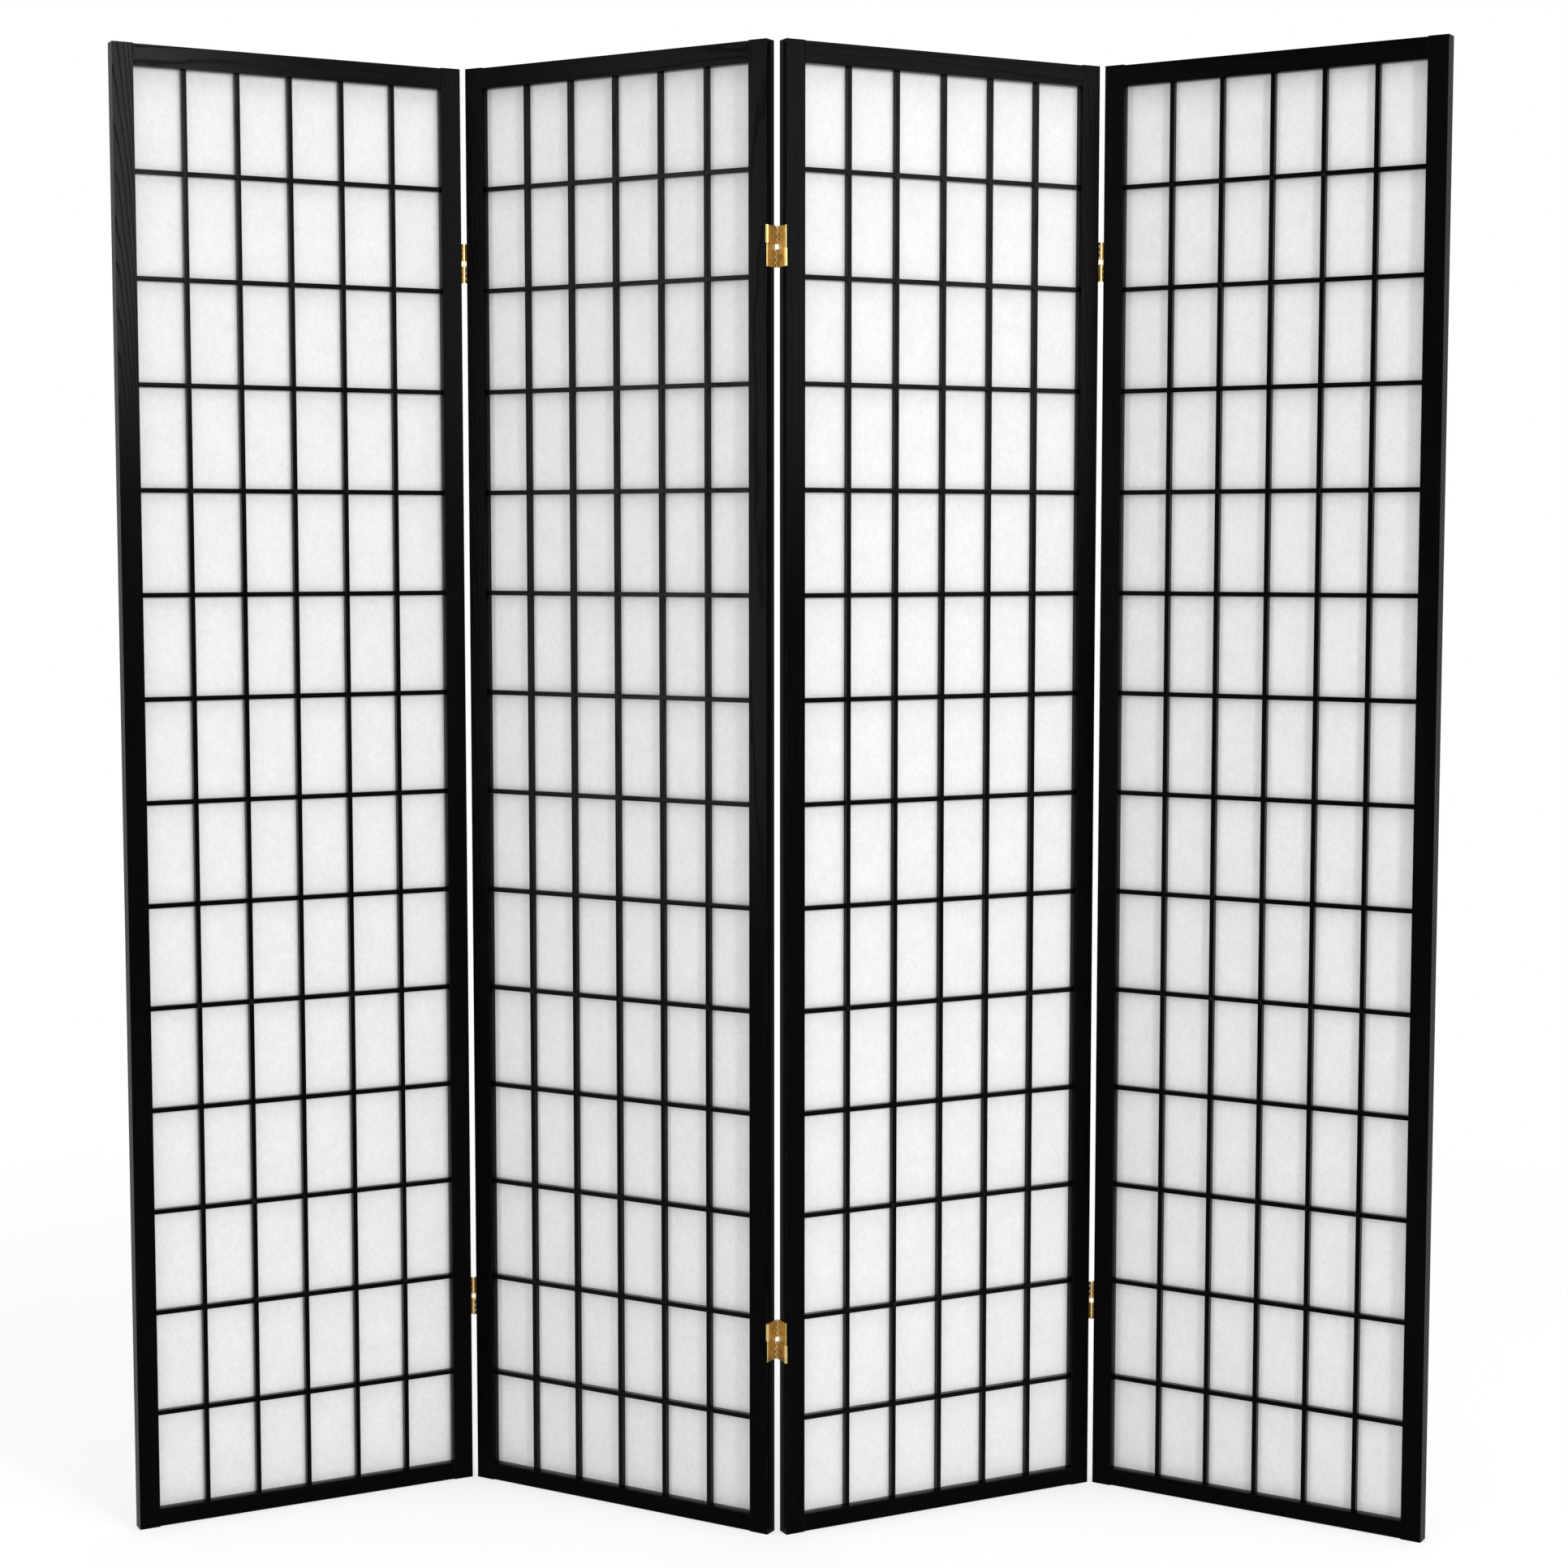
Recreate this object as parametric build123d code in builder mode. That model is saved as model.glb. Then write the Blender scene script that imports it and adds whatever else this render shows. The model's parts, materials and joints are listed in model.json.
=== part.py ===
from build123d import *
import os

# A folding shoji screen of four panels, standing open in a zigzag.
# Millimetres, Z up, the front of the screen towards -Y, the origin on the floor under its middle.

# Panel and frame
panel_height = 1784
panel_width = 433
panel_thickness = 18
stile_width = 25
top_rail_height = 25.4
bottom_rail_height = 21.3
stile_overhang = 0.8
tenon_length = 14
tenon_height = 11
tenon_thickness = 6
tenon_clearance = 0.1

# Lattice and paper
lip_depth = 5.5
rabbet_width = 6
lattice_depth = 7
lattice_clearance = 0.2
bar_width = 5.8
lattice_columns = 6
lattice_rows = 14
bottom_row_trim = 3.6
paper_thickness = 0.3
paper_margin = 1.5

# Two-way hinges
hinge_height = 48
hinge_end_distance = 238
barrel_gap = 6
barrel_radius = 2.1
sheet_thickness = 1
axis_stand_off = 2.5
pin_clearance = 0.05
knuckle_clearance = 0.2
leaf_knuckle_share = 0.5
screw_access_diameter = 6.4

# How the screen stands
first_panel_angle = 29.2
left_fold_angle = 57.65
middle_fold_angle = 57.05
right_fold_angle = 58.0

# Places that follow from the sizes above
opening_width = panel_width - 2 * stile_width
opening_low = stile_overhang + bottom_rail_height
opening_high = panel_height - stile_overhang - top_rail_height
opening_height = opening_high - opening_low
opening_middle = (opening_low + opening_high) / 2
rabbet_height = opening_height + 2 * rabbet_width
cell_width = (opening_width - (lattice_columns - 1) * bar_width) / lattice_columns
cell_height = (opening_height + bottom_row_trim - (lattice_rows - 1) * bar_width) / lattice_rows
bottom_cell_height = cell_height - bottom_row_trim
column_pitch = cell_width + bar_width
row_pitch = cell_height + bar_width
lattice_border = rabbet_width - lattice_clearance
lattice_back = lip_depth + lattice_depth
tenon_back = (panel_thickness + tenon_thickness) / 2
top_tenon_middle = (opening_high + rabbet_width + panel_height - stile_overhang) / 2
bottom_tenon_middle = (opening_low - rabbet_width + stile_overhang) / 2
barrel_length = (hinge_height - barrel_gap) / 2
upper_barrel_low = barrel_length + barrel_gap
leaf_knuckle_length = barrel_length * leaf_knuckle_share
link_knuckle_length = barrel_length - leaf_knuckle_length - knuckle_clearance
pin_radius = barrel_radius - sheet_thickness - pin_clearance
hinge_feet = {
    "low": hinge_end_distance - hinge_height / 2,
    "high": panel_height - hinge_end_distance - hinge_height / 2,
}
near_axis_depth = -axis_stand_off
far_axis_depth = panel_thickness + axis_stand_off


def front_plane(corner, angle):
    """A panel's front face, from its lower left corner: x to the right, y up, z to the viewer."""
    along = Vector(1, 0, 0).rotate(Axis.Z, angle)
    facing = Vector(0, -1, 0).rotate(Axis.Z, angle)
    return Plane(origin=corner, x_dir=along, z_dir=facing)


def folded_plane(front, angle, axis_depth):
    """The next panel's front face, turned about the hinge axis that the two panels share."""
    axis = front.from_local_coords(Vector(panel_width + barrel_radius, 0, -axis_depth))
    turned = front_plane(axis, angle)
    return front_plane(turned.from_local_coords(Vector(barrel_radius, 0, axis_depth)), angle)


def standing_panels(corner):
    """The front faces of the four panels, from left to right."""
    second_panel_angle = first_panel_angle - left_fold_angle
    third_panel_angle = second_panel_angle + middle_fold_angle
    fourth_panel_angle = third_panel_angle - right_fold_angle
    first = front_plane(corner, first_panel_angle)
    second = folded_plane(first, second_panel_angle, near_axis_depth)
    third = folded_plane(second, third_panel_angle, far_axis_depth)
    fourth = folded_plane(third, fourth_panel_angle, near_axis_depth)
    return first, second, third, fourth


def hinge_plane(front, right):
    """The floor under a hinged edge: x out of the edge, y across the thickness, z up."""
    if right:
        return Plane(front.from_local_coords(Vector(panel_width, 0, 0)), front.x_dir, (0, 0, 1))
    back_corner = front.from_local_coords(Vector(0, 0, -panel_thickness))
    return Plane(back_corner, -front.x_dir, (0, 0, 1))


def floor_middle(panels):
    """The middle of the floor that the panels and their outermost barrels cover."""
    reach = []
    for front in panels:
        for across in (0, panel_width):
            for depth in (0, panel_thickness):
                reach.append((front.from_local_coords(Vector(across, 0, -depth)), 0))
    for front in panels[:-1]:
        for axis_depth in (near_axis_depth, far_axis_depth):
            axis = Vector(panel_width + barrel_radius, 0, -axis_depth)
            reach.append((front.from_local_coords(axis), barrel_radius))
    for front in panels[1:]:
        for axis_depth in (near_axis_depth, far_axis_depth):
            axis = Vector(-barrel_radius, 0, -axis_depth)
            reach.append((front.from_local_coords(axis), barrel_radius))
    left = min(point.X - radius for point, radius in reach)
    right = max(point.X + radius for point, radius in reach)
    near = min(point.Y - radius for point, radius in reach)
    far = max(point.Y + radius for point, radius in reach)
    return Vector((left + right) / 2, (near + far) / 2, 0)


def save(piece, name):
    """Names a finished piece and writes it to its own file."""
    piece.label = name
    export_step(piece, f"parts/{name}.step")


# The uprights of a frame run the full height. The lattice drops into a rabbet from the back,
# and each rail's tenon goes into a mortise in the inner edge.
def make_stile(front, right, name):
    middle = panel_width - stile_width / 2 if right else stile_width / 2
    inward = -1 if right else 1
    inner_edge = middle + inward * stile_width / 2
    rabbet_middle = inner_edge - inward * rabbet_width / 2
    mortise_length = tenon_length + tenon_clearance
    mortise_middle = inner_edge - inward * mortise_length / 2
    with BuildPart() as stile:
        with BuildSketch(front.offset(-panel_thickness)):
            with Locations((middle, panel_height / 2)):
                Rectangle(stile_width, panel_height)
        extrude(amount=panel_thickness)
        with BuildSketch(front.offset(-panel_thickness)):
            with Locations((rabbet_middle, opening_middle)):
                Rectangle(rabbet_width, rabbet_height)
        extrude(amount=panel_thickness - lip_depth, mode=Mode.SUBTRACT)
        with BuildSketch(front.offset(-tenon_back - tenon_clearance)):
            with Locations((mortise_middle, top_tenon_middle), (mortise_middle, bottom_tenon_middle)):
                Rectangle(mortise_length, tenon_height + 2 * tenon_clearance)
        extrude(amount=tenon_thickness + 2 * tenon_clearance, mode=Mode.SUBTRACT)
    save(stile.part, name)


# The rails lie between the stiles, a little short of their ends, with a tenon on each end.
def make_rail(front, low, height, rabbet_middle, tenon_middle, name):
    left_tenon = stile_width - tenon_length / 2
    with BuildPart() as rail:
        with BuildSketch(front.offset(-panel_thickness)):
            with Locations((panel_width / 2, low + height / 2)):
                Rectangle(opening_width, height)
        extrude(amount=panel_thickness)
        with BuildSketch(front.offset(-panel_thickness)):
            with Locations((panel_width / 2, rabbet_middle)):
                Rectangle(opening_width, rabbet_width)
        extrude(amount=panel_thickness - lip_depth, mode=Mode.SUBTRACT)
        with BuildSketch(front.offset(-tenon_back)):
            with Locations((left_tenon, tenon_middle), (panel_width - left_tenon, tenon_middle)):
                Rectangle(tenon_length, tenon_height)
        extrude(amount=tenon_thickness)
    save(rail.part, name)


# The bars cross in half-laps, flush front and back, and are glued up with their border into one
# grid. Its lowest row of cells is a little shorter than the others.
def make_lattice(front, name):
    full_rows_middle = opening_high - ((lattice_rows - 1) * row_pitch - bar_width) / 2
    with BuildPart() as lattice:
        with BuildSketch(front.offset(-lattice_back)):
            with Locations((panel_width / 2, opening_middle)):
                Rectangle(opening_width + 2 * lattice_border, opening_height + 2 * lattice_border)
            with Locations((panel_width / 2, full_rows_middle)):
                with GridLocations(column_pitch, row_pitch, lattice_columns, lattice_rows - 1):
                    Rectangle(cell_width, cell_height, mode=Mode.SUBTRACT)
            with Locations((panel_width / 2, opening_low + bottom_cell_height / 2)):
                with GridLocations(column_pitch, row_pitch, lattice_columns, 1):
                    Rectangle(cell_width, bottom_cell_height, mode=Mode.SUBTRACT)
        extrude(amount=lattice_depth)
    save(lattice.part, name)


# One sheet of paper is pasted on the back of the lattice, a little short of its border's edges.
def make_paper(front, name):
    border = lattice_border - paper_margin
    with BuildPart() as paper:
        with BuildSketch(front.offset(-lattice_back - paper_thickness)):
            with Locations((panel_width / 2, opening_middle)):
                Rectangle(opening_width + 2 * border, opening_height + 2 * border)
        extrude(amount=paper_thickness)
    save(paper.part, name)


# A leaf is a plate on the edge of a panel. Its sheet runs past the near face in the upper half and
# past the far face in the lower half, rolled there round a pin that it holds fast.
def make_leaf(edge, foot, name):
    knuckles = (
        (near_axis_depth, upper_barrel_low, hinge_height - leaf_knuckle_length),
        (far_axis_depth, 0, 0),
    )
    with BuildPart() as leaf:
        with BuildSketch(edge.offset(foot)):
            with Locations((sheet_thickness / 2, panel_thickness / 2)):
                Rectangle(sheet_thickness, panel_thickness)
        extrude(amount=hinge_height)
        for axis_depth, barrel_low, knuckle_low in knuckles:
            with BuildSketch(edge.offset(foot + knuckle_low)):
                with Locations((barrel_radius, axis_depth)):
                    Circle(barrel_radius)
                with Locations((sheet_thickness / 2, (axis_depth + panel_thickness / 2) / 2)):
                    Rectangle(sheet_thickness, abs(axis_depth - panel_thickness / 2))
            extrude(amount=leaf_knuckle_length)
            with BuildSketch(edge.offset(foot + barrel_low)):
                with Locations((barrel_radius, axis_depth)):
                    Circle(pin_radius)
            extrude(amount=barrel_length)
    save(leaf.part, name)


# A link is a plate in the middle of the gap, rolled at both ends round the pin of one leaf and the
# pin of the other. A hole in it gives access to the screw behind.
def make_link(edge, foot, upper, name):
    low = foot + (upper_barrel_low if upper else 0)
    knuckle_low = low if upper else low + barrel_length - link_knuckle_length
    axis_depths = (near_axis_depth, far_axis_depth)
    screw_middle = Vector(barrel_radius, panel_thickness / 2, low + barrel_length / 2)
    with BuildPart() as link:
        with BuildSketch(edge.offset(low)):
            with Locations((barrel_radius, panel_thickness / 2)):
                Rectangle(sheet_thickness, panel_thickness)
        extrude(amount=barrel_length)
        with BuildSketch(edge.offset(knuckle_low)):
            with Locations((barrel_radius, panel_thickness / 2)):
                Rectangle(sheet_thickness, far_axis_depth - near_axis_depth)
            with Locations(*[(barrel_radius, axis_depth) for axis_depth in axis_depths]):
                Circle(barrel_radius)
                Circle(pin_radius + pin_clearance, mode=Mode.SUBTRACT)
        extrude(amount=link_knuckle_length)
        with BuildSketch(Plane(edge.from_local_coords(screw_middle), edge.y_dir, edge.x_dir)):
            Circle(screw_access_diameter / 2)
        extrude(amount=sheet_thickness, both=True, mode=Mode.SUBTRACT)
    save(link.part, name)


os.makedirs("parts", exist_ok=True)
panels = standing_panels(-floor_middle(standing_panels(Vector(0, 0, 0))))

for number, front in enumerate(panels, start=1):
    panel = f"panel_{number}"
    make_stile(front, False, f"{panel}_left_stile")
    make_stile(front, True, f"{panel}_right_stile")
    make_rail(
        front,
        opening_high,
        top_rail_height,
        opening_high + rabbet_width / 2,
        top_tenon_middle,
        f"{panel}_top_rail",
    )
    make_rail(
        front,
        stile_overhang,
        bottom_rail_height,
        opening_low - rabbet_width / 2,
        bottom_tenon_middle,
        f"{panel}_bottom_rail",
    )
    make_lattice(front, f"{panel}_lattice")
    make_paper(front, f"{panel}_paper")

# Where two panels turn about their front faces, the upper links stay with the right-hand panel.
# At the middle fold, which turns about the back faces, they stay with the left-hand one.
folds = (("left_fold", True), ("middle_fold", False), ("right_fold", True))
for (fold, front_turning), left_front, right_front in zip(folds, panels, panels[1:]):
    left_edge = hinge_plane(left_front, True)
    right_edge = hinge_plane(right_front, False)
    for place, foot in hinge_feet.items():
        hinge = f"{fold}_{place}_hinge"
        make_leaf(left_edge, foot, f"{hinge}_left_leaf")
        make_leaf(right_edge, foot, f"{hinge}_right_leaf")
        make_link(right_edge if front_turning else left_edge, foot, True, f"{hinge}_upper_link")
        make_link(left_edge if front_turning else right_edge, foot, False, f"{hinge}_lower_link")
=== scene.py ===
import json
import math

import bmesh
import bpy
from mathutils import Matrix, Vector


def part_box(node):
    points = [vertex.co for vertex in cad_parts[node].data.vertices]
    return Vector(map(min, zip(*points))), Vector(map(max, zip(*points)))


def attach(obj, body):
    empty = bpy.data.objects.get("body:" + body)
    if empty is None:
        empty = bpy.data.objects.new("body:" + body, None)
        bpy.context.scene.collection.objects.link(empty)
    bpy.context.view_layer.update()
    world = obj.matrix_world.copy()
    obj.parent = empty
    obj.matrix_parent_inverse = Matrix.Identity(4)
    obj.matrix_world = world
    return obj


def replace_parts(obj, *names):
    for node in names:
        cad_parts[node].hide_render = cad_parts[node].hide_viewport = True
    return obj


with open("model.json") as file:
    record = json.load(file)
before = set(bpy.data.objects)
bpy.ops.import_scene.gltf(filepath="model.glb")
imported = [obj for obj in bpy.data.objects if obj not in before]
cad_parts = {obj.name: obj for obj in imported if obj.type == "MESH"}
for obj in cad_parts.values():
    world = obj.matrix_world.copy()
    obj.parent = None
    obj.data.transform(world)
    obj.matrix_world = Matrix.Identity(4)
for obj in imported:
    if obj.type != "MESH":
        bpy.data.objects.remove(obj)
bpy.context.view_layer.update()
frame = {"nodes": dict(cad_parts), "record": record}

# The frame of each panel
# Two stiles run the full height and two rails are tenoned between them. The wood is sawn, planed
# and eased along its arrises, then lacquered black so thinly that its grain still shows in the shine.
panels = ("panel_1", "panel_2", "panel_3", "panel_4")
arris_ease = 0.0006
weld_distance = 1e-6
flat_angle = math.radians(1)
crease_angle = math.radians(40)
lacquer_black = (0.0007, 0.0007, 0.0008, 1)
lacquer_thin = (0.0018, 0.0018, 0.0019, 1)
# a lighter lacquer laid on the arrises in patches: partly rubbed wear, partly a painted edge highlight
lacquer_worn_and_highlit = (0.016, 0.0155, 0.015, 1)
lacquer_roughness = 0.12
plain_mirror = (1, 1, 1, 1)

# Patterns in the wood, each by its stretch across, in depth and along the grain, scale and detail
sway_pattern = ((22, 22, 1.6), 1.0, 2.0)
wobble_pattern = ((50, 50, 14), 1.0, 3.0)
pore_pattern = ((1, 1, 0.03), 1400, 2.0)
streak_pattern = ((1, 1, 0.02), 420, 3.0)
smear_pattern = ((1, 1, 0.2), 26, 3.0)
edge_wear_highlight_pattern = ((1, 1, 0.12), 170, 3.0)
heart_slope = (1, 1, 0.05)
wobble_share = 0.3
streak_share = 0.5
early_pores = 0.3

# Where each pattern starts and ends, by the ramp's stops
late_wood_stops = ((0.0, 0.2), (0.04, 0), (0.7, 0.05), (0.84, 0.2), (0.91, 1), (0.96, 1), (1.0, 0.2))
pore_stops = ((0.53, 0), (0.66, 1))
thin_stops = ((0.40, 0), (0.72, 1))
edge_wear_highlight_stops = ((0.44, 0), (0.70, 1))

# How far each pattern stands up, sinks in, or dulls the shine
streak_height = 0.1
late_wood_sink = 0.28
pore_sink = 0.06
smear_dulling = 0.12
late_wood_dulling = 0.12
pore_dulling = 0.08
edge_wear_highlight_dulling = 0.1


class Signal:
    """A socket in a node tree. Arithmetic on it adds Math nodes, and node() adds any other node."""

    def __init__(self, socket):
        self.socket = socket
        self.tree = socket.id_data

    def node(self, kind, settings, sockets, output=0):
        made = self.tree.nodes.new(kind)
        for name, value in settings.items():
            if name == "stops":
                set_stops(made.color_ramp, value)
            else:
                setattr(made, name, value)
        for name, value in sockets.items():
            if isinstance(value, Signal):
                self.tree.links.new(value.socket, made.inputs[name])
            else:
                made.inputs[name].default_value = value
        return Signal(made.outputs[output])

    def math(self, operation, *others):
        values = dict(enumerate((self, *others)))
        return self.node("ShaderNodeMath", {"operation": operation}, values)

    def vector(self, operation, other):
        return self.node("ShaderNodeVectorMath", {"operation": operation}, {0: self, 1: other})

    def length(self):
        return self.node("ShaderNodeVectorMath", {"operation": "LENGTH"}, {0: self}, "Value")

    def stretched(self, stretch):
        return self.vector("MULTIPLY", stretch)

    def noise(self, stretch, scale, detail, roughness=0.55):
        spread = self.stretched(stretch)
        sockets = {"Vector": spread, "Scale": scale, "Detail": detail, "Roughness": roughness}
        return self.node("ShaderNodeTexNoise", {}, sockets, "Fac")

    def ramp(self, *stops):
        return self.node("ShaderNodeValToRGB", {"stops": stops}, {"Fac": self})

    def mixed(self, low, high):
        return self.node("ShaderNodeMix", {"data_type": "RGBA"}, {0: self, 6: low, 7: high}, 2)

    def relief(self, strength, distance):
        sockets = {"Strength": strength, "Distance": distance, "Height": self}
        return self.node("ShaderNodeBump", {}, sockets)

    def __add__(self, other):
        return self.math("ADD", other)

    def __mul__(self, other):
        return self.math("MULTIPLY", other)

    def __sub__(self, other):
        return self.math("SUBTRACT", other)

    def __rsub__(self, other):
        return self.math("MULTIPLY", -1.0).math("ADD", other)

    __radd__ = __add__
    __rmul__ = __mul__


def set_stops(ramp, stops):
    """Sets a ramp's stops, each a place and a grey."""
    while len(ramp.elements) < len(stops):
        ramp.elements.new(1.0)
    for element, (place, grey) in zip(ramp.elements, stops):
        element.position = place
        element.color = (grey, grey, grey, 1)


def new_material(name, source, settings, output):
    """A material with its shader node, and the signal that its pattern starts from."""
    material = bpy.data.materials.new(name)
    material.use_nodes = True
    shader = material.node_tree.nodes["Principled BSDF"]
    start = Signal(shader.outputs[0]).node(source, settings, {}, output)
    return material, shader, start


def feed(shader, **values):
    """Links or sets the shader's sockets, named with underscores for spaces."""
    for name, value in values.items():
        socket = shader.inputs[name.replace("_", " ")]
        if isinstance(value, Signal):
            shader.id_data.links.new(value.socket, socket)
        else:
            socket.default_value = value


def lacquered_wood(name, ring_pitch, figure, depth, mirror, mirror_tint):
    """Black lacquer over wood. The board attribute holds across, depth and along the grain."""
    settings = {"attribute_name": "board"}
    material, shader, board = new_material(name, "ShaderNodeAttribute", settings, "Vector")
    arris = board.node("ShaderNodeAttribute", {"attribute_name": "arris"}, {}, "Fac")
    sway = board.noise(*sway_pattern) * figure
    wobble = board.noise(*wobble_pattern) * figure * wobble_share
    ring = board.stretched(heart_slope).length()
    growth = ((ring + sway + wobble) * (1 / ring_pitch)).math("FRACT")
    late_wood = growth.ramp(*late_wood_stops)
    pores = board.noise(*pore_pattern).ramp(*pore_stops)
    streaks = board.noise(*streak_pattern)
    smears = board.noise(*smear_pattern)
    opened = pores * (early_pores + late_wood * (1 - early_pores))
    thin = (streaks * streak_share + smears * (1 - streak_share)).ramp(*thin_stops)
    # The arrises turn lighter in patches: partly rubbed wear, partly a painted edge highlight
    worn_highlit_edge = arris * board.noise(*edge_wear_highlight_pattern).ramp(*edge_wear_highlight_stops)
    tone = thin.mixed(lacquer_black, lacquer_thin)
    height = streaks * streak_height - late_wood * late_wood_sink - opened * pore_sink
    feed(shader, Base_Color=worn_highlit_edge.mixed(tone, lacquer_worn_and_highlit), Normal=height.relief(1.0, depth))
    dulled = lacquer_roughness + smears * smear_dulling + late_wood * late_wood_dulling
    dulled = dulled + opened * pore_dulling + worn_highlit_edge * edge_wear_highlight_dulling
    feed(shader, Roughness=dulled, Specular_IOR_Level=mirror, Specular_Tint=mirror_tint)
    return material


def panel_place(panel):
    """A panel's own axes, from its lower left front corner: x to the right, y to the back, z up."""
    stiles = [f"{panel}_{side}_stile" for side in ("left", "right")]
    left, right = [sum(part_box(stile), Vector()) / 2 for stile in stiles]
    along = (right - left).normalized()
    up = Vector((0, 0, 1))
    turn = Matrix((along, up.cross(along), up)).transposed()
    corners = [turn.transposed() @ v.co for s in stiles for v in frame["nodes"][s].data.vertices]
    corner = Vector([min(point[axis] for point in corners) for axis in range(3)])
    return Matrix.Translation(turn @ corner) @ turn.to_4x4()


def applied(piece):
    """A piece's mesh as its modifiers leave it, as a plain mesh."""
    evaluated = piece.evaluated_get(bpy.context.evaluated_depsgraph_get())
    return bpy.data.meshes.new_from_object(evaluated)


def new_piece(name, mesh, body, material):
    """Puts a finished mesh in the scene, flat where it is flat, on the body that carries it."""
    mesh.materials.clear()
    mesh.materials.append(material)
    mesh.shade_smooth()
    mesh.set_sharp_from_angle(angle=crease_angle)
    piece = bpy.data.objects.new(name, mesh)
    bpy.context.scene.collection.objects.link(piece)
    shading = piece.modifiers.new("shading", "WEIGHTED_NORMAL")
    shading.keep_sharp = True
    piece.data = applied(piece)
    piece.data.name = name
    piece.modifiers.clear()
    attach(piece, body)
    return piece


def finished(name, bm):
    """A mesh of its own from what was built."""
    mesh = bpy.data.meshes.new(name)
    bm.to_mesh(mesh)
    bm.free()
    return mesh


def ease_edges(bm, ease):
    """Welds a shape, rounds off its sharp edges and marks the middle of each as its arris."""
    arris = bm.verts.layers.float.new("arris")
    bmesh.ops.remove_doubles(bm, verts=bm.verts, dist=weld_distance)
    bmesh.ops.dissolve_limit(bm, angle_limit=flat_angle, verts=bm.verts, edges=bm.edges)
    sharp = [e for e in bm.edges if e.is_manifold and e.calc_face_angle() > crease_angle]
    rounded = bmesh.ops.bevel(bm, geom=sharp, offset=ease, segments=2, profile=0.5, affect="EDGES",
                              clamp_overlap=True)
    rolled = set(rounded["faces"])
    for vertex in rounded["verts"]:
        vertex[arris] = float(all(face in rolled for face in vertex.link_faces))
    bmesh.ops.remove_doubles(bm, verts=bm.verts, dist=weld_distance)


def eased_copy(node, place, ease):
    """A node's shape in its panel's axes, with its edges eased."""
    bm = bmesh.new()
    bm.from_mesh(frame["nodes"][node].data)
    bm.transform(place.inverted())
    ease_edges(bm, ease)
    return finished(f"{node}_eased", bm)


def store_board(mesh, axes, heart):
    """Stores where each point lies in its board: across, depth and along the grain, from the heart."""
    low = Vector([min(vertex.co[axis] for vertex in mesh.vertices) for axis in axes])
    stored = mesh.attributes.new("board", "FLOAT_VECTOR", "POINT")
    for vertex, value in zip(mesh.vertices, stored.data):
        value.vector = Vector([vertex.co[axis] for axis in axes]) - low + Vector(heart)


places = {panel: panel_place(panel) for panel in panels}
frame_lacquer = lacquered_wood("frame_lacquer", ring_pitch=0.0026, figure=0.007, depth=0.00013,
                               mirror=0.021, mirror_tint=plain_mirror)
stile_axes = (0, 1, 2)
rail_axes = (2, 1, 0)
left_hearts = ((0.002, 0.004, -0.95), (0.016, 0.06, -0.5), (0.012, 0.09, -1.4), (-0.034, 0.05, -0.9))
right_hearts = ((0.020, 0.05, -0.8), (-0.02, 0.08, -1.3), (0.018, 0.06, -0.4), (-0.006, 0.07, -1.0))
top_hearts = ((0.01, 0.15, -0.2), (-0.02, 0.13, -0.3), (0.03, 0.17, -0.1), (0.0, 0.14, -0.25))
bottom_hearts = ((0.02, 0.12, -0.1), (-0.01, 0.16, -0.2), (0.01, 0.15, -0.3), (-0.03, 0.13, -0.2))
boards = (
    ("left_stile", stile_axes, left_hearts),
    ("right_stile", stile_axes, right_hearts),
    ("top_rail", rail_axes, top_hearts),
    ("bottom_rail", rail_axes, bottom_hearts),
)
for board, axes, hearts in boards:
    for panel, heart in zip(panels, hearts):
        node = f"{panel}_{board}"
        mesh = eased_copy(node, places[panel], arris_ease)
        store_board(mesh, axes, heart)
        mesh.transform(places[panel])
        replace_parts(new_piece(f"{node}_eased", mesh, panel, frame_lacquer), node)

# The lattice of each panel
# Slender bars cross in half-laps: the uprights run through in front and the cross bars behind. They
# are glued up with a border strip, their arrises are eased between the crossings, and all is lacquered.
bar_width = 0.0058
bar_ease = 0.0006
ease_middle = 1 - math.sqrt(0.5)
columns = 6
rows = 14
bottom_row_trim = 0.0036
grazing_mirror = (0.03, 0.03, 0.03, 1)
cut_low = (-0.04, -0.01, -2.0)
cut_high = (0.04, 0.01, 2.0)
lattice_lacquer = lacquered_wood("lattice_lacquer", ring_pitch=0.009, figure=0.006, depth=0.00005,
                                 mirror=0.5, mirror_tint=grazing_mirror)


def bar_section(bm, along, ease, front, lap, back):
    """One ring of points round a bar: its back, its lap, its eased front and round again."""
    half = bar_width / 2
    middle = ease * ease_middle
    side = [(half, back, 0), (half, lap, 0), (half, front + ease, 0),
            (half - middle, front + middle, 1), (half - ease, front, 0)]
    arris = bm.verts.layers.float["arris"]
    ring = []
    for across, depth, worn_highlit_edge in side + [(-x, y, worn_highlit_edge) for x, y, worn_highlit_edge in reversed(side)]:
        ring.append(bm.verts.new((across, depth, along)))
        ring[-1][arris] = worn_highlit_edge
    return ring


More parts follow.
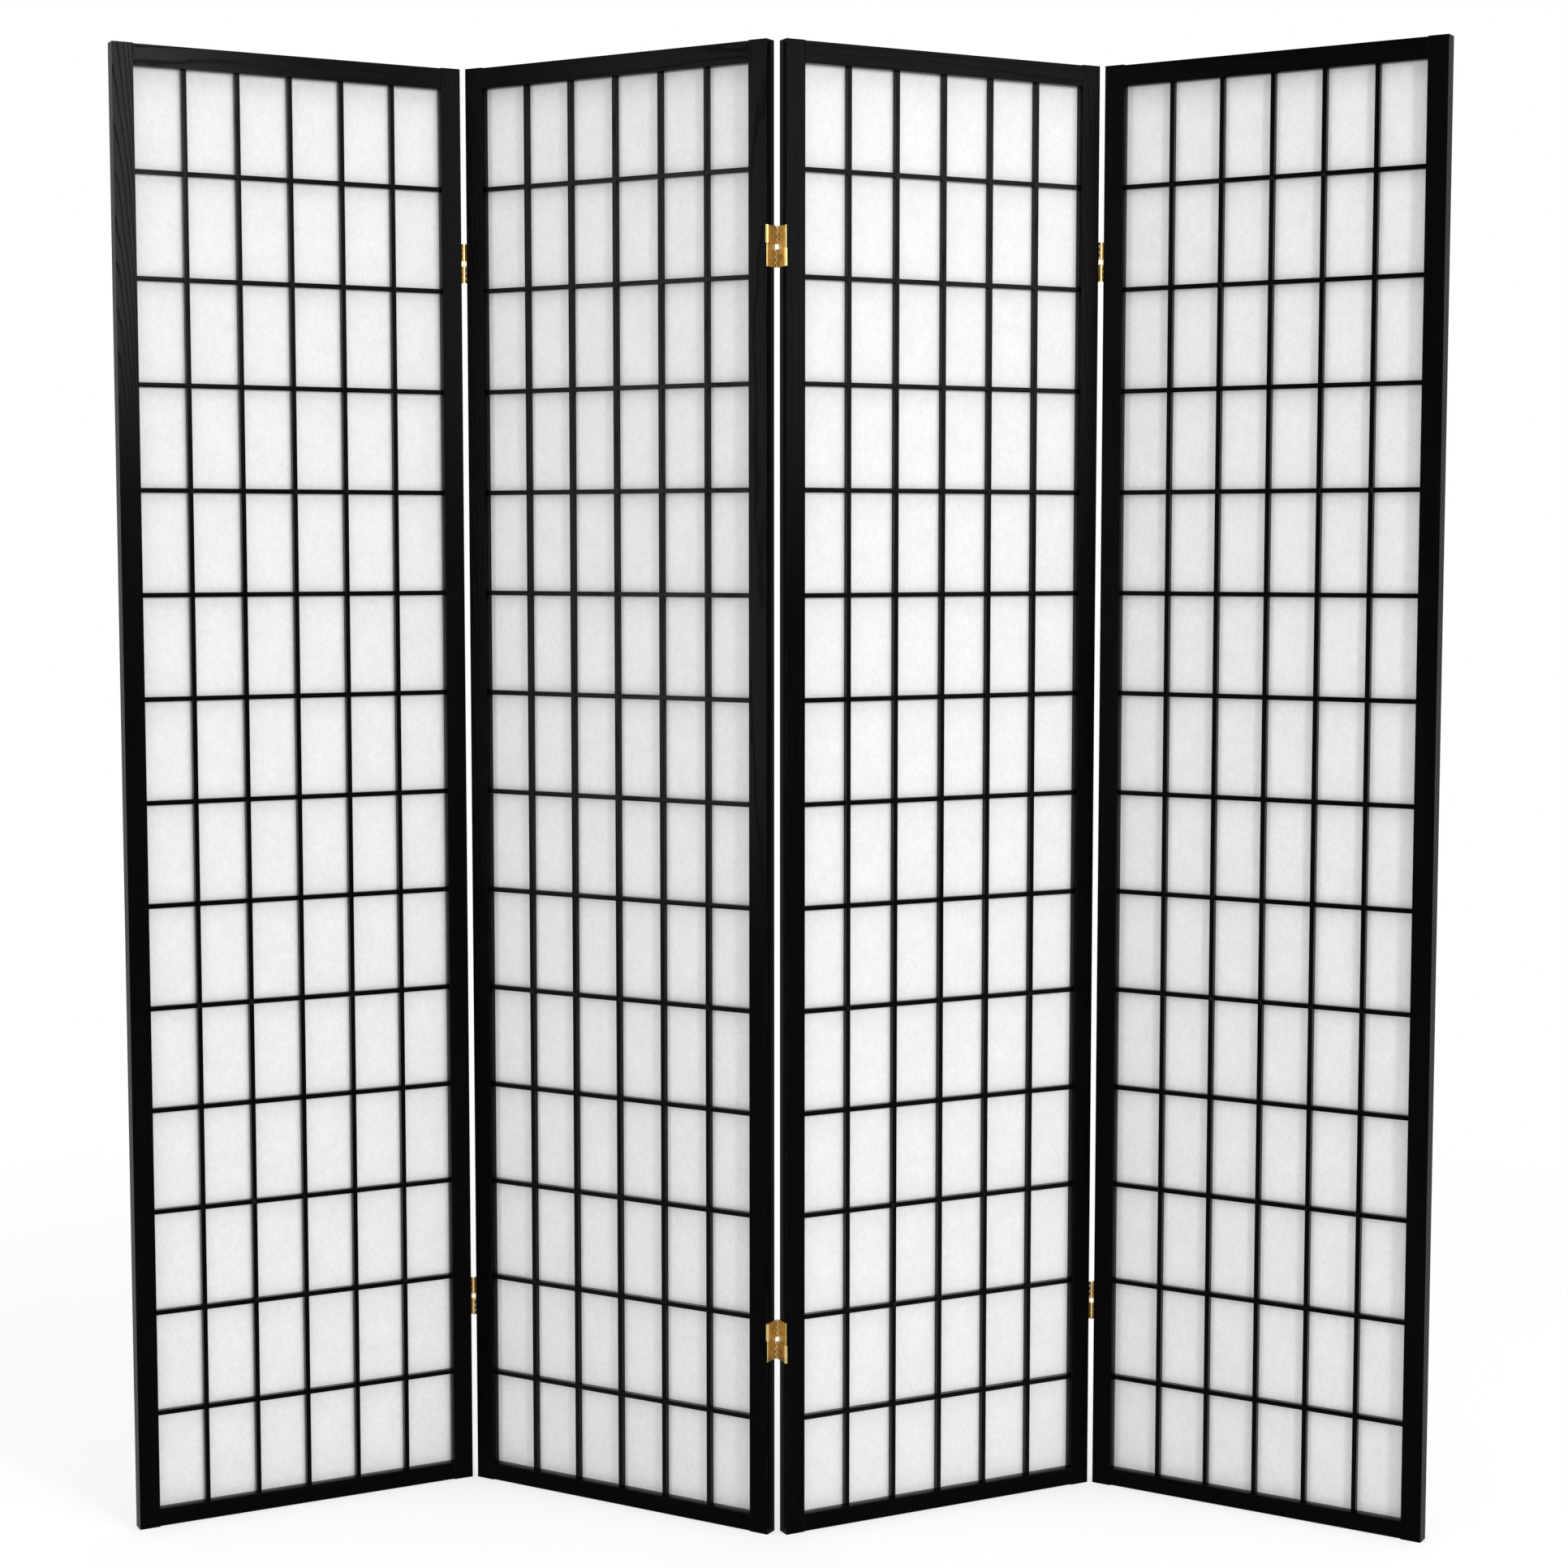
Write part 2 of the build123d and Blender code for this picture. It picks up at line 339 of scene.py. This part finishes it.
def lapped_bar(name, length, crossings, front, back, through_in_front):
    """A bar along z, lapped half-way into the bars that it crosses."""
    lap = (front + back) / 2
    stations = [(0, bar_ease, front, back)]
    for crossing in crossings:
        low, high = crossing - bar_width / 2, crossing + bar_width / 2
        if through_in_front:
            stations += [(low - bar_ease, bar_ease, front, back), (low, 0, front, back),
                         (low, 0, front, lap), (high, 0, front, lap),
                         (high, 0, front, back), (high + bar_ease, bar_ease, front, back)]
        else:
            stations += [(low, bar_ease, front, back), (low, 0, lap, back),
                         (high, 0, lap, back), (high, bar_ease, front, back)]
    stations.append((length, bar_ease, front, back))
    bm = bmesh.new()
    bm.verts.layers.float.new("arris")
    rings = [bar_section(bm, along, ease, near, lap, far) for along, ease, near, far in stations]
    for ring, following in zip(rings, rings[1:]):
        for a, b, c, d in zip(ring, ring[1:] + ring[:1], following[1:] + following[:1], following):
            bm.faces.new((a, b, c, d))
    bm.faces.new(rings[0])
    bm.faces.new(rings[-1])
    bmesh.ops.remove_doubles(bm, verts=bm.verts, dist=weld_distance)
    bmesh.ops.recalc_face_normals(bm, faces=bm.faces)
    mesh = finished(name, bm)
    store_board(mesh, stile_axes, (0, 0, 0))
    return mesh


def new_tree(name, inputs):
    """A Geometry Nodes tree with named inputs, the signal of each, and its output socket."""
    tree = bpy.data.node_groups.new(name, "GeometryNodeTree")
    for label, kind in inputs.items():
        tree.interface.new_socket(label, in_out="INPUT", socket_type=f"NodeSocket{kind}")
    tree.interface.new_socket("Pieces", in_out="OUTPUT", socket_type="NodeSocketGeometry")
    source = tree.nodes.new("NodeGroupInput")
    given = {label: Signal(source.outputs[label]) for label in inputs}
    return tree, given, tree.nodes.new("NodeGroupOutput").inputs["Pieces"]


def grown(name, mesh, tree, values):
    """The plain mesh that a tree makes of a mesh, with the tree's inputs set."""
    seedling = bpy.data.objects.new(name, mesh)
    bpy.context.scene.collection.objects.link(seedling)
    modifier = seedling.modifiers.new(name, "NODES")
    modifier.node_group = tree
    for item in tree.interface.items_tree:
        if item.in_out == "INPUT" and item.name in values:
            modifier[item.identifier] = values[item.name]
    result = applied(seedling)
    bpy.data.objects.remove(seedling)
    return result


def bar_row_tree():
    """Sets a bar out in a row, each one cut from another part of the board."""
    inputs = {"Bar": "Geometry", "Count": "Int", "Start": "Vector", "Pitch": "Vector",
              "Turn": "Vector", "Seed": "Int", "Finish": "Material"}
    tree, given, end = new_tree("bar_row", inputs)
    bar = given["Bar"]
    steps = {"Count": given["Count"], "Start Location": given["Start"], "Offset": given["Pitch"]}
    line = bar.node("GeometryNodeMeshLine", {"mode": "OFFSET"}, steps)
    turn = bar.node("FunctionNodeEulerToRotation", {}, {"Euler": given["Turn"]})
    row = {"Points": line, "Instance": bar, "Rotation": turn}
    placed = bar.node("GeometryNodeInstanceOnPoints", {}, row)
    spread = {0: cut_low, 1: cut_high, "Seed": given["Seed"]}
    cut = bar.node("FunctionNodeRandomValue", {"data_type": "FLOAT_VECTOR"}, spread)
    on_bars = {"data_type": "FLOAT_VECTOR", "domain": "INSTANCE"}
    marks = {"Geometry": placed, "Name": "cut", "Value": cut}
    marked = bar.node("GeometryNodeStoreNamedAttribute", on_bars, marks)
    whole = bar.node("GeometryNodeRealizeInstances", {}, {"Geometry": marked})
    stored = [bar.node("GeometryNodeInputNamedAttribute", {"data_type": "FLOAT_VECTOR"}, {"Name": name})
              for name in ("board", "cut")]
    on_points = {"data_type": "FLOAT_VECTOR", "domain": "POINT"}
    shifted = {"Geometry": whole, "Name": "board", "Value": stored[0].vector("ADD", stored[1])}
    moved = bar.node("GeometryNodeStoreNamedAttribute", on_points, shifted)
    tidy = bar.node("GeometryNodeRemoveAttribute", {}, {"Geometry": moved, "Name": "cut"})
    done = bar.node("GeometryNodeSetMaterial", {}, {"Geometry": tidy, "Material": given["Finish"]})
    tree.links.new(done.socket, end)
    return tree


def node_span(node, place):
    """A node's lowest and highest corner in its panel's axes."""
    points = [place.inverted() @ v.co for v in frame["nodes"][node].data.vertices]
    return [Vector([pick(p[axis] for p in points) for axis in range(3)]) for pick in (min, max)]


def joined(name, meshes):
    """Several meshes as one."""
    bm = bmesh.new()
    for mesh in meshes:
        bm.from_mesh(mesh)
    return finished(name, bm)


bar_row = bar_row_tree()
upright_turn = (0, 0, 0)
level_turn = (math.pi / 2, math.pi / 2, math.pi / 2)
for number, panel in enumerate(panels):
    node = f"{panel}_lattice"
    low, high = node_span(node, places[panel])
    inner_low = low + Vector((bar_width, 0, bar_width))
    inner_high = high - Vector((bar_width, 0, bar_width))
    width, height = inner_high.x - inner_low.x, inner_high.z - inner_low.z
    column_pitch = (width + bar_width) / columns
    row_pitch = (height + bar_width + bottom_row_trim) / rows
    across = [column * column_pitch - bar_width / 2 for column in range(1, columns)]
    upwards = [height - row * row_pitch + bar_width / 2 for row in range(rows - 1, 0, -1)]
    upright = lapped_bar("upright", height, upwards, low.y, high.y, True)
    cross_bar = lapped_bar("cross_bar", width, across, low.y, high.y, False)
    side_strip = lapped_bar("side_strip", high.z - low.z, (), low.y, high.y, True)
    end_strip = lapped_bar("end_strip", width, (), low.y, high.y, True)
    first_upright = (inner_low.x + across[0], 0, inner_low.z)
    first_cross_bar = (inner_low.x, 0, inner_low.z + upwards[0])
    left_strip = (low.x + bar_width / 2, 0, low.z)
    bottom_strip = (inner_low.x, 0, low.z + bar_width / 2)
    runs = (
        (upright, columns - 1, first_upright, (column_pitch, 0, 0), upright_turn),
        (cross_bar, rows - 1, first_cross_bar, (0, 0, row_pitch), level_turn),
        (side_strip, 2, left_strip, (width + bar_width, 0, 0), upright_turn),
        (end_strip, 2, bottom_strip, (0, 0, height + bar_width), level_turn),
    )
    bars = []
    for run, (bar, count, start, pitch, turn) in enumerate(runs):
        values = {"Count": count, "Start": start, "Pitch": pitch, "Turn": turn,
                  "Seed": len(runs) * number + run, "Finish": lattice_lacquer}
        bars.append(grown(f"{panel}_bars_{run}", bar, bar_row, values))
    mesh = joined(f"{panel}_lattice_bars", bars)
    mesh.transform(places[panel])
    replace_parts(new_piece(f"{panel}_lattice_bars", mesh, panel, lattice_lacquer), node)

# The paper of each panel
# One sheet of white shoji paper is pasted on the back of the lattice. Long plant fibres lie in it
# every way, so it is a little cloudy, and it lets some light through.
paper_white = (0.90, 0.90, 0.895, 1)
paper_cloud = (0.735, 0.735, 0.735, 1)
paper_fibre = (0.92, 0.92, 0.91, 1)
paper_roughness = 0.85
paper_shine = 0.2
light_let_through = 0.25

# Patterns in the paper, each by its stretch, scale, detail and roughness, and the stops of its ramp
cloud_pattern = ((1, 1, 1), 30, 4.0, 0.6)
mottle_pattern = ((1, 1, 0.6), 210, 3.0, 0.6)
pulp_pattern = ((1, 1, 0.6), 430, 2.0, 0.6)
cloud_stops = ((0.36, 0), (0.64, 1))
mottle_stops = ((0.38, 0), (0.62, 1))
pulp_stops = ((0.38, 0), (0.62, 1))
strand_stops = ((0.965, 0), (1.0, 1))
strand_gaps = ((0.5, 0), (0.7, 1))
curl_scale = 11.0
fibre_waves = {"Scale": 60.0, "Distortion": 14.0, "Detail": 2.0, "Detail Scale": 1.6}

# How far each pattern clouds the paper, stands up from it or adds to its shine
cloud_share = 0.2
mottle_share = 0.3
pulp_share = 0.3
mottle_height = 0.5
strand_height = 0.8
strand_shine = 0.2
paper_relief = 0.35
paper_relief_depth = 0.00012


def shoji_paper():
    """White paper, cloudy, with loose fibres in it."""
    material, shader, place = new_material("shoji_paper", "ShaderNodeTexCoord", {}, "Object")
    clouds = place.noise(*cloud_pattern)
    mottle = place.noise(*mottle_pattern)
    curl = place.node("ShaderNodeTexNoise", {}, {"Vector": place, "Scale": curl_scale}, "Color")
    bent = place.vector("ADD", curl)
    waves = {"Vector": bent, **fibre_waves}
    fibres = bent.node("ShaderNodeTexWave", {"bands_direction": "DIAGONAL"}, waves, "Fac")
    strands = fibres.ramp(*strand_stops) * mottle.ramp(*strand_gaps)
    pulp = place.noise(*pulp_pattern).ramp(*pulp_stops)
    cloudy = clouds.ramp(*cloud_stops) * cloud_share + mottle.ramp(*mottle_stops) * mottle_share
    cloudy = cloudy + pulp * pulp_share
    tone = strands.mixed(cloudy.mixed(paper_white, paper_cloud), paper_fibre)
    height = mottle * mottle_height + strands * strand_height
    feed(shader, Base_Color=tone, Normal=height.relief(paper_relief, paper_relief_depth))
    feed(shader, Roughness=paper_roughness - strands * strand_shine, Specular_IOR_Level=paper_shine)
    through = place.node("ShaderNodeBsdfTranslucent", {}, {"Color": paper_white})
    sides = {0: light_let_through, 1: Signal(shader.outputs[0]), 2: through}
    mixed = place.node("ShaderNodeMixShader", {}, sides)
    output = material.node_tree.nodes["Material Output"]
    material.node_tree.links.new(mixed.socket, output.inputs["Surface"])
    return material


white_paper = shoji_paper()
for panel in panels:
    paper = frame["nodes"][f"{panel}_paper"]
    paper.data.materials.clear()
    paper.data.materials.append(white_paper)

# The two-way hinges
# Each is four stampings of thin brass-plated sheet, rolled in fingers round four pins: a leaf on each
# panel's edge, and two links between them that have a hole to reach the screw behind.
hinge_height = 0.048
barrel_length = 0.021
barrel_radius = 0.0021
sheet = 0.001
axis_stand_off = 0.0025
pin_radius = 0.00105
finger_pairs = 3
finger_play = 0.0001
roll_gap = math.radians(8)
roll_steps = 22
tail_length = 0.002
hinge_ease = 0.00012
access_radius = 0.0032
countersink_radius = 0.003
countersink_bottom = 0.0019
round_steps = 32
brass_bright = (0.68, 0.505, 0.215, 1)
brass_brown = (0.54, 0.38, 0.145, 1)
# paler brass for the arrises: partly rubbed wear, partly a painted edge highlight
brass_worn_and_highlit = (0.80, 0.64, 0.36, 1)
brass_roughness = 0.26
blush_pattern = ((1, 1, 1), 140, 3.0)
scuff_pattern = ((1, 1, 0.08), 2600, 2.0)
blush_share = 0.7
bright_stops = ((0.36, 0), (0.62, 1))
least_edge_wear_highlight = 0.4
scuff_relief = 0.25
scuff_depth = 0.00005
scuff_dulling = 0.16
blush_dulling = 0.06


def plated_brass():
    """Brass plate under clear lacquer, a little brown in places, with fine scratches."""
    material, shader, place = new_material("plated_brass", "ShaderNodeTexCoord", {}, "Object")
    arris = place.node("ShaderNodeAttribute", {"attribute_name": "arris"}, {}, "Fac")
    blush = place.noise(*blush_pattern)
    scuffs = place.noise(*scuff_pattern)
    tone = (blush * blush_share + scuffs * (1 - blush_share)).ramp(*bright_stops)
    # Every arris is paler, more so in patches: partly rubbed wear, partly a painted edge highlight
    worn_highlit_edge = arris * (least_edge_wear_highlight + blush * (1 - least_edge_wear_highlight))
    colour = worn_highlit_edge.mixed(tone.mixed(brass_brown, brass_bright), brass_worn_and_highlit)
    feed(shader, Base_Color=colour, Normal=scuffs.relief(scuff_relief, scuff_depth), Metallic=1.0)
    feed(shader, Roughness=brass_roughness + scuffs * scuff_dulling + blush * blush_dulling)
    return material


def prism(bm, outline, low, high):
    """Stands an outline up between two heights."""
    lower, upper = [[bm.verts.new((x, y, z)) for x, y in outline] for z in (low, high)]
    bm.faces.new(lower)
    bm.faces.new(upper)
    for a, b, c, d in zip(lower, lower[1:] + lower[:1], upper[1:] + upper[:1], upper):
        bm.faces.new((a, b, c, d))


def arc(middle, radius, start, end):
    """Points along an arc."""
    x, y = middle
    angles = [start + (end - start) * step / roll_steps for step in range(roll_steps + 1)]
    return [(x + radius * math.cos(angle), y + radius * math.sin(angle)) for angle in angles]


def rolled_outline(face, far, thickness):
    """The section of a sheet that leaves the plate and rolls once round a pin."""
    middle = (barrel_radius, -axis_stand_off)
    inner_radius = barrel_radius - sheet
    back = face + sheet
    start = math.acos((face - middle[0]) / barrel_radius)
    inner_start = math.acos(max(-1, (back - middle[0]) / inner_radius))
    end = 2 * math.pi + min(math.acos((back - middle[0]) / barrel_radius), inner_start) - roll_gap
    outline = [(face, tail_length)] + arc(middle, barrel_radius, start, end)
    outline += arc(middle, inner_radius, end, inner_start) + [(back, tail_length)]
    return [(x, thickness - y) for x, y in outline] if far else outline


def finger_heights(upper, on_leaf):
    """Where the fingers of a leaf or a link lie in the upper or the lower barrel."""
    pitch = barrel_length / (2 * finger_pairs)
    foot = hinge_height - barrel_length if upper else 0
    first = int(upper == on_leaf)
    lows = [foot + (first + 2 * pair) * pitch for pair in range(finger_pairs)]
    return [(low + finger_play, low + pitch - finger_play) for low in lows]


def cutter(heights, low, high, low_radius, high_radius, thickness):
    """Round tools that cut through a plate, out along x, at the middle of its width."""
    bm = bmesh.new()
    for height in heights:
        place = Matrix.Translation(((low + high) / 2, thickness / 2, height))
        bmesh.ops.create_cone(bm, cap_ends=True, segments=round_steps, radius1=low_radius,
                              radius2=high_radius, depth=high - low,
                              matrix=place @ Matrix.Rotation(math.pi / 2, 4, "Y"))
    return finished("cutter", bm)


def cut_out(mesh, tool):
    """A shape merged with itself, less what a tool cuts out of it."""
    blank, bit = [bpy.data.objects.new(part.name, part) for part in (mesh, tool)]
    for part in (blank, bit):
        bpy.context.scene.collection.objects.link(part)
    cut = blank.modifiers.new("cut", "BOOLEAN")
    cut.operation = "DIFFERENCE"
    cut.solver = "EXACT"
    cut.use_self = True
    cut.object = bit
    result = applied(blank)
    for part in (blank, bit):
        bpy.data.objects.remove(part)
    return result


def stamping(name, plate_face, plate_low, plate_high, rolls, tool, pins, thickness):
    """A hinge plate with its rolled fingers and its pins, about the foot of the panel's edge."""
    bm = bmesh.new()
    plate_back = plate_face + sheet
    plate = [(plate_face, 0), (plate_back, 0), (plate_back, thickness), (plate_face, thickness)]
    prism(bm, plate, plate_low, plate_high)
    for far, heights in rolls:
        for low, high in heights:
            prism(bm, rolled_outline(plate_face, far, thickness), low, high)
    bmesh.ops.recalc_face_normals(bm, faces=bm.faces)
    cut = cut_out(finished(name, bm), tool)
    bm = bmesh.new()
    bm.from_mesh(cut)
    for far, low in pins:
        depth = thickness + axis_stand_off if far else -axis_stand_off
        place = Matrix.Translation((barrel_radius, depth, low + barrel_length / 2))
        bmesh.ops.create_cone(bm, cap_ends=True, segments=round_steps, radius1=pin_radius,
                              radius2=pin_radius, depth=barrel_length, matrix=place)
    ease_edges(bm, hinge_ease)
    return finished(name, bm)


thickness = node_span("panel_1_left_stile", places["panel_1"])[1].y
panel_width = node_span("panel_1_right_stile", places["panel_1"])[1].x
upper_foot = hinge_height - barrel_length
screw_heights = (barrel_length / 2, hinge_height - barrel_length / 2)
link_face = barrel_radius - sheet / 2
over = sheet / 4
flare = (countersink_radius - countersink_bottom) * over / sheet
countersinks = cutter(screw_heights, -over, sheet + over, countersink_bottom - flare,
                      countersink_radius + flare, thickness)
leaf = stamping("leaf", 0, 0, hinge_height,
                ((False, finger_heights(True, True)), (True, finger_heights(False, True))),
                countersinks, ((False, upper_foot), (True, 0)), thickness)
links = {}
for upper, foot, height in ((False, 0, screw_heights[0]), (True, upper_foot, screw_heights[1])):
    access = cutter((height,), link_face - over, link_face + sheet + over,
                    access_radius, access_radius, thickness)
    heights = finger_heights(upper, False)
    rolls = ((False, heights), (True, heights))
    links[upper] = stamping("link", link_face, foot, foot + barrel_length, rolls, access, (), thickness)


def edge_place(panel, right_edge, foot):
    """A hinged edge of a panel: x out of the edge, y across the thickness, z up from the hinge's foot."""
    if right_edge:
        return places[panel] @ Matrix.Translation((panel_width, 0, foot))
    return places[panel] @ Matrix.Translation((0, thickness, foot)) @ Matrix.Rotation(math.pi, 4, "Z")


hinge_brass = plated_brass()
leaf_places = {panel: [] for panel in panels}
for node in sorted(name for name in frame["nodes"] if "_hinge_" in name):
    body = next(panel for panel in panels if node in frame["record"]["behaviour"]["bodies"][panel])
    low, high = node_span(node, places[body])
    upper = node.endswith("upper_link")
    place = edge_place(body, low.x > panel_width / 2, low.z - upper_foot if upper else low.z)
    if node.endswith("leaf"):
        leaf_places[body].append(place)
        mesh = leaf.copy()
    else:
        mesh = links[upper].copy()
    mesh.name = f"{node}_rolled"
    mesh.transform(place)
    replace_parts(new_piece(f"{node}_rolled", mesh, body, hinge_brass), node)

# The hinge screws
# Two countersunk wood screws hold each leaf. Each head is turned from brass-plated steel, a little
# domed, with a crossed slot, and stands just proud of its seat in the leaf.
head_radius = 0.0028
head_dome = 0.0003
head_depth = 0.0009
head_bottom = 0.0019
slot_length = 0.0034
slot_width = 0.0008
slot_depth = 0.0007
dome_rings = 4


def screw_head():
    """A screw head about its axis z, with the plate's face at zero and a crossed slot cut in it."""
    profile = [(head_radius * math.cos(turn), head_dome * math.sin(turn))
               for turn in [math.pi / 2 * step / dome_rings for step in range(dome_rings)]]
    profile = [(head_bottom, -head_depth)] + profile
    bm = bmesh.new()
    rings = []
    for radius, height in profile:
        turns = [2 * math.pi * step / round_steps for step in range(round_steps)]
        rings.append([bm.verts.new((radius * math.cos(t), radius * math.sin(t), height)) for t in turns])
    for ring, following in zip(rings, rings[1:]):
        for a, b, c, d in zip(ring, ring[1:] + ring[:1], following[1:] + following[:1], following):
            bm.faces.new((a, b, c, d))
    top = bm.verts.new((0, 0, head_dome))
    for a, b in zip(rings[-1], rings[-1][1:] + rings[-1][:1]):
        bm.faces.new((a, b, top))
    bm.faces.new(rings[0])
    bmesh.ops.recalc_face_normals(bm, faces=bm.faces)
    tool = bmesh.new()
    half, side = slot_length / 2, slot_width / 2
    cross = [(half, -side), (half, side), (side, side), (side, half), (-side, half), (-side, side),
             (-half, side), (-half, -side), (-side, -side), (-side, -half), (side, -half), (side, -side)]
    prism(tool, cross, head_dome - slot_depth, head_dome * 2)
    bmesh.ops.recalc_face_normals(tool, faces=tool.faces)
    head = cut_out(finished("head", bm), finished("slot", tool))
    bm = bmesh.new()
    bm.from_mesh(head)
    ease_edges(bm, hinge_ease / 2)
    return finished("screw_head", bm)


def screws_tree():
    """Sets a screw head at each point, facing the way the point says and turned as it was driven."""
    inputs = {"Seats": "Geometry", "Head": "Object", "Seed": "Int", "Finish": "Material"}
    tree, given, end = new_tree("screws", inputs)
    seats = given["Seats"]
    vectors = {"data_type": "FLOAT_VECTOR"}
    facing = seats.node("GeometryNodeInputNamedAttribute", vectors, {"Name": "facing"})
    aimed = seats.node("FunctionNodeAlignRotationToVector", {"axis": "Z"}, {"Vector": facing})
    spread = {0: (0.0, 0.0, 0.0), 1: (0.0, 0.0, math.pi), "Seed": given["Seed"]}
    driven = seats.node("FunctionNodeRandomValue", vectors, spread)
    spun = seats.node("FunctionNodeEulerToRotation", {}, {"Euler": driven})
    turns = {"Rotation": aimed, "Rotate By": spun}
    turned = seats.node("FunctionNodeRotateRotation", {"rotation_space": "LOCAL"}, turns)
    head = seats.node("GeometryNodeObjectInfo", {}, {"Object": given["Head"]}, "Geometry")
    heads = {"Points": seats, "Instance": head, "Rotation": turned}
    placed = seats.node("GeometryNodeInstanceOnPoints", {}, heads)
    whole = seats.node("GeometryNodeRealizeInstances", {}, {"Geometry": placed})
    done = seats.node("GeometryNodeSetMaterial", {}, {"Geometry": whole, "Material": given["Finish"]})
    tree.links.new(done.socket, end)
    return tree


screws = screws_tree()
turned_head = bpy.data.objects.new("screw_head", screw_head())
bpy.context.scene.collection.objects.link(turned_head)
for number, panel in enumerate(panels):
    seats = [(place @ Vector((sheet, thickness / 2, height)), place.to_3x3() @ Vector((1, 0, 0)))
             for place in leaf_places[panel] for height in screw_heights]
    points = bpy.data.meshes.new(f"{panel}_seats")
    points.from_pydata([seat for seat, facing in seats], [], [])
    stored = points.attributes.new("facing", "FLOAT_VECTOR", "POINT")
    for value, (seat, facing) in zip(stored.data, seats):
        value.vector = facing
    values = {"Head": turned_head, "Seed": number, "Finish": hinge_brass}
    mesh = grown(f"{panel}_screws", points, screws, values)
    new_piece(f"{panel}_hinge_screws", mesh, panel, hinge_brass)
bpy.data.objects.remove(turned_head)

# The studio
# A pale floor that runs out to white, a tall key light and a broad side light from the right, a
# weaker fill from the left and a wide soft light overhead. The camera stands where the photograph's did.
floor_reach = 12.0
floor_clear_from = 1.1
floor_clear_to = 2.6
floor_clear_near = 0.6
floor_pale = (0.95, 0.95, 0.95, 1)
floor_roughness = 0.9
floor_shine = 0.1
world_white = (1, 1, 1, 1)
world_light = 0.38


def seen_directly(start):
    """One for rays from the camera and for reflected or refracted ones, otherwise zero."""
    rays = [start.node("ShaderNodeLightPath", {}, {}, name)
            for name in ("Is Camera Ray", "Is Glossy Ray", "Is Transmission Ray")]
    return rays[0].math("MAXIMUM", rays[1]).math("MAXIMUM", rays[2])


def pale_floor():
    """A pale floor, as white as the background where it runs out of the picture."""
    material, shader, place = new_material("pale_floor", "ShaderNodeTexCoord", {}, "Object")
    away = place.length()
    span = {"Value": away, "From Min": floor_clear_from, "From Max": floor_clear_to,
            "To Min": floor_clear_near}
    clear = away.node("ShaderNodeMapRange", {"interpolation_type": "SMOOTHSTEP"}, span)
    white = away.node("ShaderNodeEmission", {}, {"Strength": 1.0})
    sides = {0: clear * seen_directly(away), 1: Signal(shader.outputs[0]), 2: white}
    mixed = away.node("ShaderNodeMixShader", {}, sides)
    output = material.node_tree.nodes["Material Output"]
    material.node_tree.links.new(mixed.socket, output.inputs["Surface"])
    feed(shader, Base_Color=floor_pale, Roughness=floor_roughness, Specular_IOR_Level=floor_shine)
    return material


bpy.ops.mesh.primitive_plane_add(size=2 * floor_reach)
floor = bpy.context.object
floor.name = "floor"
floor.data.materials.append(pale_floor())

world = bpy.data.worlds.new("studio")
world.use_nodes = True
bpy.context.scene.world = world
sky = world.node_tree.nodes["Background"]
direct = seen_directly(Signal(sky.outputs[0]))
sky.inputs["Color"].default_value = world_white
strength = direct * (1 - world_light) + world_light
world.node_tree.links.new(strength.socket, sky.inputs["Strength"])


def soft_light(name, place, target, width, height, power):
    """A rectangular soft light that faces a point."""
    lamp = bpy.data.lights.new(name, "AREA")
    lamp.shape = "RECTANGLE"
    lamp.size = width
    lamp.size_y = height
    lamp.energy = power
    light = bpy.data.objects.new(name, lamp)
    light.location = place
    light.visible_camera = False
    light.rotation_euler = (Vector(target) - Vector(place)).to_track_quat("-Z", "Y").to_euler()
    bpy.context.scene.collection.objects.link(light)


screen_middle = (0, 0, 0.9)
floor_before_screen = (0, -0.4, 0)
soft_light("key", (3.5, -4.75, 2.55), screen_middle, width=0.7, height=1.6, power=124)
soft_light("side", (5.0, -3.2, 2.4), screen_middle, width=2.0, height=2.0, power=80)
soft_light("fill", (-3.98, -2.30, 1.5), screen_middle, width=0.7, height=2.4, power=41)
soft_light("overhead", (0, -0.4, 5.5), floor_before_screen, width=6.0, height=6.0, power=235)

camera_place = (0.10662, -3.47360, 1.19739)
camera_pitch = 4.8045
camera_yaw = 1.6577
camera_lens = 65.3125
camera_sensor = 36
camera_data = bpy.data.cameras.new("camera")
camera_data.sensor_width = camera_sensor
camera_data.lens = camera_lens
camera = bpy.data.objects.new("camera", camera_data)
camera.location = camera_place
camera.rotation_euler = (math.radians(90 - camera_pitch), 0, math.radians(camera_yaw))
bpy.context.scene.collection.objects.link(camera)
bpy.context.scene.camera = camera
bpy.context.scene.view_settings.view_transform = "Standard"
